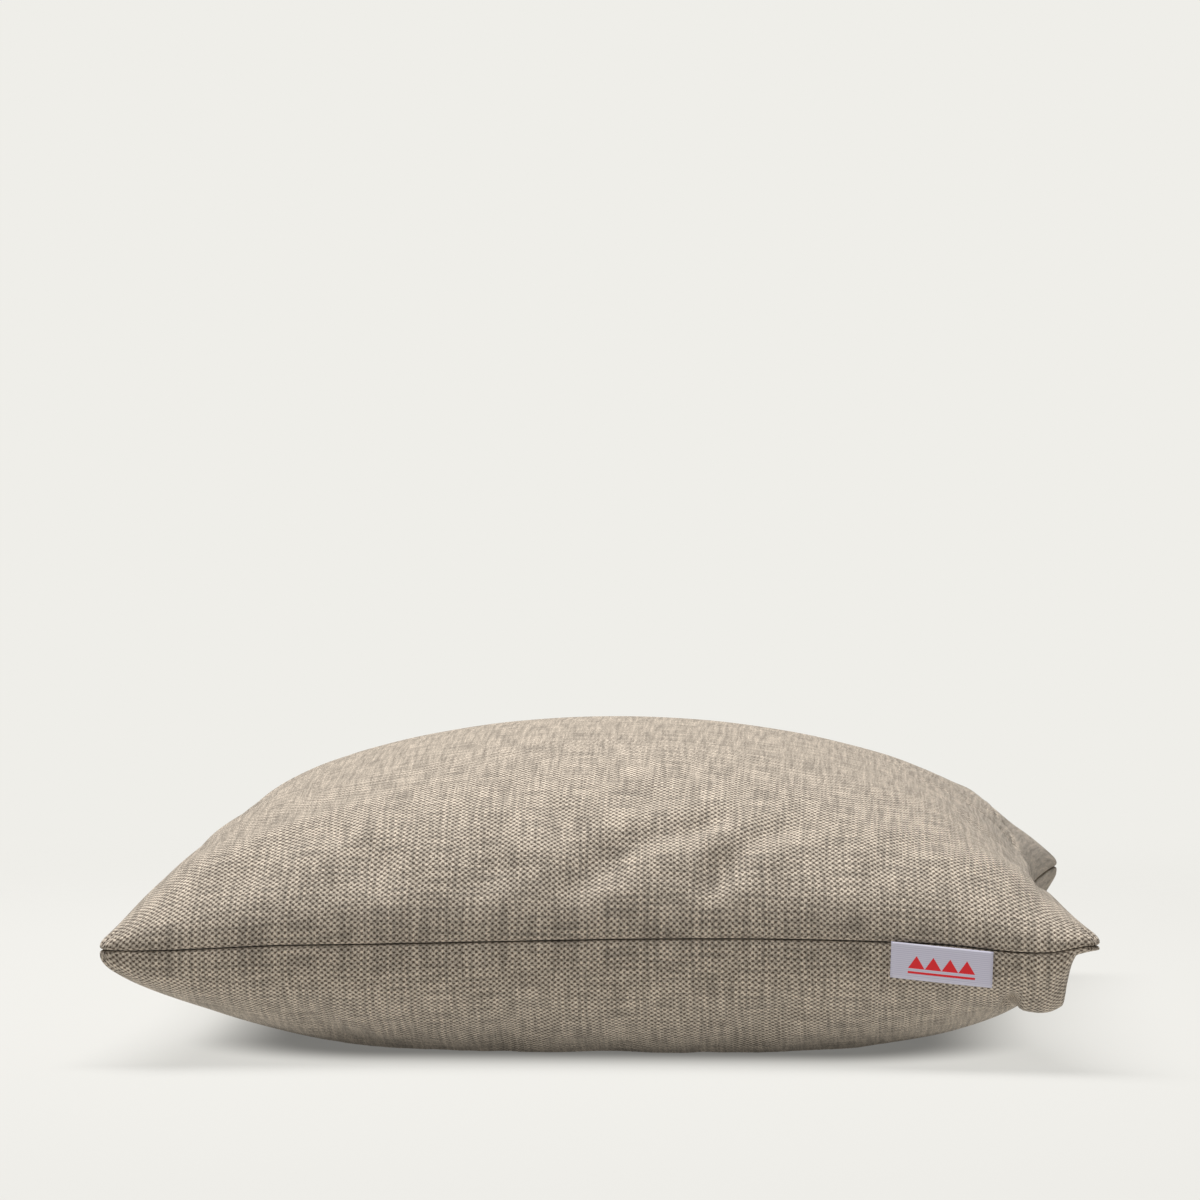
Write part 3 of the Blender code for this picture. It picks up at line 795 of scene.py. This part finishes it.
def add_floor():
    """Pale painted board, matt, with an emission of its own that keeps shadows short and light, as in a
    bright sweep of studio paper. Round the pillow's footprint the emission is painted weaker, as a painted
    contact shadow. It fades into the backdrop well away from the pillow."""
    made, tree, shader = finish_material("matt_white_paint")
    shader.inputs["Base Color"].default_value = linear("757472")
    shader.inputs["Roughness"].default_value = 1.0
    shader.inputs["Specular IOR Level"].default_value = 0.0
    shader.inputs["Emission Color"].default_value = linear("efeee9")
    place = node(tree, "ShaderNodeTexCoord").outputs["Object"]
    # Round where the pillow rests, the emission is painted weaker: a painted contact shadow on the floor.
    spread = node(tree, "ShaderNodeVectorMath", {"operation": "ABSOLUTE"}, _0=place)
    past = node(
        tree, "ShaderNodeVectorMath", {"operation": "SUBTRACT"},
        _0=spread.outputs[0], _1=(0.09, 0.09, 0.0),
    )
    past = node(
        tree, "ShaderNodeVectorMath", {"operation": "MAXIMUM"},
        _0=past.outputs[0], _1=(0.0, 0.0, 0.0),
    )
    clear = node(tree, "ShaderNodeVectorMath", {"operation": "LENGTH"}, _0=past.outputs[0])
    glow_with_painted_shadow = node(
        tree, "ShaderNodeMapRange", {"interpolation_type": "SMOOTHSTEP"},
        Value=clear.outputs["Value"], From_Min=0.042, From_Max=0.092, To_Min=0.2, To_Max=FLOOR_GLOW,
    )
    tree.links.new(glow_with_painted_shadow.outputs[0], shader.inputs["Emission Strength"])
    away = node(tree, "ShaderNodeVectorMath", {"operation": "LENGTH"}, _0=place)
    fade = node(
        tree, "ShaderNodeMapRange", {"interpolation_type": "SMOOTHSTEP"},
        Value=away.outputs["Value"], From_Min=0.45, From_Max=1.1, To_Min=1.0, To_Max=0.0,
    )
    tree.links.new(fade.outputs[0], shader.inputs["Alpha"])
    half = FLOOR_HALF
    corners = [(-half, -half, 0.0), (half, -half, 0.0), (half, half, 0.0), (-half, half, 0.0)]
    floor = mesh_object("floor", corners, [(0, 1, 2, 3)], made)


def add_camera():
    lens = bpy.data.cameras.new("camera")
    lens.sensor_width = 36.0
    lens.lens = CAMERA_LENS
    lens.clip_start = 0.05
    lens.clip_end = 50.0
    camera = bpy.data.objects.new("camera", lens)
    camera.location = CAMERA_PLACE
    camera.rotation_euler = (math.pi / 2 - CAMERA_DIP, 0.0, CAMERA_TURN)
    bpy.context.scene.collection.objects.link(camera)
    bpy.context.scene.camera = camera


# ---------------------------------------------------------------- making it all


def add_cover():
    weave = cover_weave()
    for name, node_name, up in (("cover_top", "top_panel", 1), ("cover_bottom", "bottom_panel", -1)):
        panel = add_skin(name, up, weave, PANEL_STEPS, CLOTH)
        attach(panel, "cushion")
        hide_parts(node_name)


def add_casing():
    """The inner casing's two sheets, which follow the cover from inside."""
    nonwoven = casing_nonwoven()
    for name, node_name, up in (
        ("casing_top", "inner_casing_top", 1),
        ("casing_bottom", "inner_casing_bottom", -1),
    ):
        sheet = add_skin(name, up, nonwoven, CASING_STEPS, CASING_CLOTH, CASING_SIDE, CASING_FACE)
        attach(sheet, "cushion")
        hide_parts(node_name)


def add_fibre():
    """The fibre, one mass that fills the casing. Its two halves meet in one line round the middle."""
    halves = {up: panel_surface(up, CASING_STEPS, FIBRE_SIDE, FIBRE_FACE)[0] for up in (1, -1)}
    across = CASING_STEPS + 1
    rows, columns = rim_order(CASING_STEPS)
    middle = (halves[1][rows, columns] + halves[-1][rows, columns]) / 2
    points, faces = [], []
    for up, grid in halves.items():
        grid[rows, columns] = middle
        start = 0 if up > 0 else across * across
        points.append(grid.reshape(-1, 3))
        faces += [tuple(start + corner for corner in face) for face in grid_faces(CASING_STEPS, up < 0)]
    fibre = mesh_object("fibre_filling", np.concatenate(points), faces, loose_fibre())
    merge_doubles(fibre)
    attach(fibre, "cushion")
    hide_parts("fibre_fill")


def merge_doubles(piece):
    shape = bmesh.new()
    shape.from_mesh(piece.data)
    bmesh.ops.remove_doubles(shape, verts=shape.verts, dist=0.01 * MM)
    shape.to_mesh(piece.data)
    shape.free()


def label_point(across, down, leaf):
    """A point of the label: this share of its width, this far below the seam, on the front (-1) or the back
    (1) leaf. It leans with the seam, and its free edge bows a little."""
    along = (LABEL_RIGHT - LABEL_LEFT) * (across - 0.5)
    middle = (LABEL_LEFT + LABEL_RIGHT) / 2
    flat = Vector((along.x, along.y, 0.0))
    drop = Vector((-LABEL_SKEW * down, 0.0, -down))
    lean = -LABEL_LEAN * flat.length * math.copysign(1.0, across - 0.5)
    share = down / LABEL_DROP
    bow = -0.7 * MM * math.sin(math.pi * across) * share - 0.5 * MM * share * across
    return middle + flat + drop + Vector((0.0, leaf * LABEL_LEAF * LEAF_SPREAD + bow, lean - LABEL_LOWERED))


def add_label():
    """A satin tape folded in two, its fold down and both its ends in the seam."""
    columns, rows = 24, 14
    points, places = [], []
    for j in range(2 * rows + 1):
        share = j / rows
        leaf = -1.0 if share < 1.0 else 1.0
        down = LABEL_DROP * (share if share <= 1.0 else 2.0 - share)
        turn = smooth_step(0.0, 2.0 * LABEL_LEAF, LABEL_DROP - down) if abs(share - 1.0) > 1e-6 else 0.0
        for i in range(columns + 1):
            points.append(label_point(i / columns, down, leaf * float(turn)))
            places.append(((i / columns - 0.5) * LABEL_WIDTH, LABEL_DROP * (1.0 - share)))
    across = columns + 1
    faces = []
    for j, i in np.ndindex(2 * rows, columns):
        corner = int(j * across + i)
        faces.append((corner, corner + across, corner + across + 1, corner + 1))
    label = mesh_object("label_tape", points, faces, label_satin())
    add_cloth_map(label, np.array(places))
    solid = label.modifiers.new("Thickness", "SOLIDIFY")
    solid.thickness = 0.25 * MM
    solid.offset = -1.0
    apply_modifiers(label)
    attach(label, "label")
    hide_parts("side_label")


def repeated(pattern, places, name, finish):
    """One piece from many copies of a small mesh, each turned and placed by its own matrix."""
    base = np.array([vertex.co for vertex in pattern.data.vertices])
    sides = [tuple(face.vertices) for face in pattern.data.polygons]
    points, faces = [], []
    for number, place in enumerate(places):
        points.append(base @ place[:3, :3].T + place[:3, 3])
        faces += [tuple(corner + number * len(base) for corner in side) for side in sides]
    bpy.data.objects.remove(pattern, do_unlink=True)
    return mesh_object(name, np.concatenate(points), faces, finish)


def frame_of(along, outwards, centre):
    """A placing matrix whose X runs along and whose Y looks outwards."""
    x = np.array(along) / np.linalg.norm(along)
    z = np.cross(x, outwards)
    z /= np.linalg.norm(z)
    place = np.eye(4)
    place[:3, 0], place[:3, 1], place[:3, 2], place[:3, 3] = x, np.cross(z, x), z, centre
    return place


def add_coils():
    """The zip's two coils: a row of nylon loops each, pressed flat, half a pitch out of step."""
    nylon = zip_nylon()
    loop_size = 2 * (COIL_LOOP + COIL_WIRE)
    for name, box_name, up in (("coil_top", "zip_coil_top", 1), ("coil_bottom", "zip_coil_bottom", -1)):
        low, high = (Vector(corner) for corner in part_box(box_name))
        outer = high.z if up > 0 else low.z
        head = SEAM_Z - up * COIL_HOOK
        bpy.ops.object.select_all(action="DESELECT")
        bpy.ops.mesh.primitive_torus_add(
            major_segments=14, minor_segments=6, major_radius=COIL_LOOP, minor_radius=COIL_WIRE,
            rotation=(0.0, math.pi / 2, 0.0),
        )
        loop = bpy.context.object
        loop.scale = (abs(outer - head) / loop_size, (high.y - low.y) / loop_size, 1.0)
        bpy.ops.object.transform_apply(location=False, rotation=True, scale=True)
        middle = (low + high) / 2
        count = int((high.x - low.x - COIL_PITCH) / COIL_PITCH)
        places = []
        for number in range(count):
            x = low.x + COIL_PITCH * (0.75 + number + (0.5 if up < 0 else 0.0))
            places.append(frame_of((1.0, 0.04, 0.0), (0.0, 1.0, 0.0), (x, middle.y, (outer + head) / 2)))
        coil = repeated(loop, places, name, nylon)
        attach(coil, "cushion")
        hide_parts(box_name)


def add_zip_stitches():
    """One row of lockstitches along the zip on each panel, 6 mm from the fold, through cloth and tape."""
    thread = sewing_thread()
    for name, up in (("stitches_above_zip", 1), ("stitches_below_zip", -1)):
        places = []
        count = int(2 * ZIP_HALF / STITCH_PITCH)
        for number in range(count):
            x = -ZIP_HALF + STITCH_PITCH * (number + 0.5)
            places.append(stitch_place(x, up))
        bpy.ops.object.select_all(action="DESELECT")
        bpy.ops.mesh.primitive_uv_sphere_add(segments=8, ring_count=6, radius=0.5)
        stitch = bpy.context.object
        stitch.scale = STITCH_SIZE
        bpy.ops.object.transform_apply(location=False, rotation=True, scale=True)
        row = repeated(stitch, places, name, thread)
        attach(row, "cushion")


def stitch_place(x, up):
    """Where one stitch lies on the finished panel: it is read from the panel's own surface."""
    grid = SURFACES[up]
    column = int(np.argmin(np.abs(grid[-1, :, 0] - x)))
    strip = grid[-STITCH_ROWS:, column]
    heights = np.abs(strip[:, 2] - SEAM_Z)
    row = len(grid) - STITCH_ROWS + int(np.argmin(np.abs(heights - STITCH_FROM_FOLD - ZIP_GAP)))
    sideways = grid[row, column + 1] - grid[row, column - 1]
    backwards = grid[row + 1, column] - grid[row - 1, column]
    normal = np.cross(sideways, backwards) * up
    normal /= np.linalg.norm(normal)
    share = (x - grid[row, column, 0]) / (grid[row, column + 1, 0] - grid[row, column, 0])
    centre = grid[row, column] * (1 - share) + grid[row, column + 1] * share
    return frame_of((1.0, 0.0, 0.0), normal, centre + normal * STITCH_PROUD)


def add_tumbled(name, node_name, body, finish, radius):
    """A die-cast piece of the zip with its edges rounded, as tumbling leaves them."""
    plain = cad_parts[node_name]
    points = [plain.matrix_world @ vertex.co for vertex in plain.data.vertices]
    faces = [tuple(face.vertices) for face in plain.data.polygons]
    piece = mesh_object(name, points, faces, finish)
    bpy.ops.object.select_all(action="DESELECT")
    bpy.context.view_layer.objects.active = piece
    piece.select_set(True)
    bpy.ops.object.mode_set(mode="EDIT")
    bpy.ops.mesh.select_all(action="SELECT")
    bpy.ops.mesh.remove_doubles(threshold=0.01 * MM)
    bpy.ops.mesh.dissolve_limited(angle_limit=math.radians(1.0))
    bpy.ops.object.mode_set(mode="OBJECT")
    bevel = piece.modifiers.new("Rounded", "BEVEL")
    bevel.width = radius
    bevel.segments = 3
    bevel.limit_method = "ANGLE"
    bevel.angle_limit = EDGE_ANGLE
    apply_modifiers(piece)
    bpy.ops.object.shade_smooth_by_angle(angle=EDGE_ANGLE)
    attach(piece, body)
    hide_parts(node_name)


def finish_zip():
    """Metal for the stops, slider and pull, and woven ribbon for the tapes."""
    metal, ribbon = nickel_plate(), zip_tape_weave()
    add_tumbled("slider_body", "zip_slider", "slider", metal, 0.12 * MM)
    add_tumbled("pull_plate", "zip_pull", "pull_tab", metal, 0.2 * MM)
    finishes = {"zip_bottom_stop": metal, "zip_end_stop_top": metal, "zip_end_stop_bottom": metal}
    finishes.update({"zip_tape_top": ribbon, "zip_tape_bottom": ribbon})
    for name, finish in finishes.items():
        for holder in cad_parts[name].material_slots:
            holder.material = finish


GATHERS = {}
blown_up = slack_cover()
GATHERS.update({1: gathers(blown_up[1]), -1: BOTTOM_GATHER_SHARE * gathers(blown_up[-1])})
SURFACES = {up: panel_surface(up, PANEL_STEPS)[0] for up in (1, -1)}

add_studio()
add_floor()
add_camera()
add_cover()
add_casing()
add_fibre()
add_label()
add_coils()
add_zip_stitches()
finish_zip()
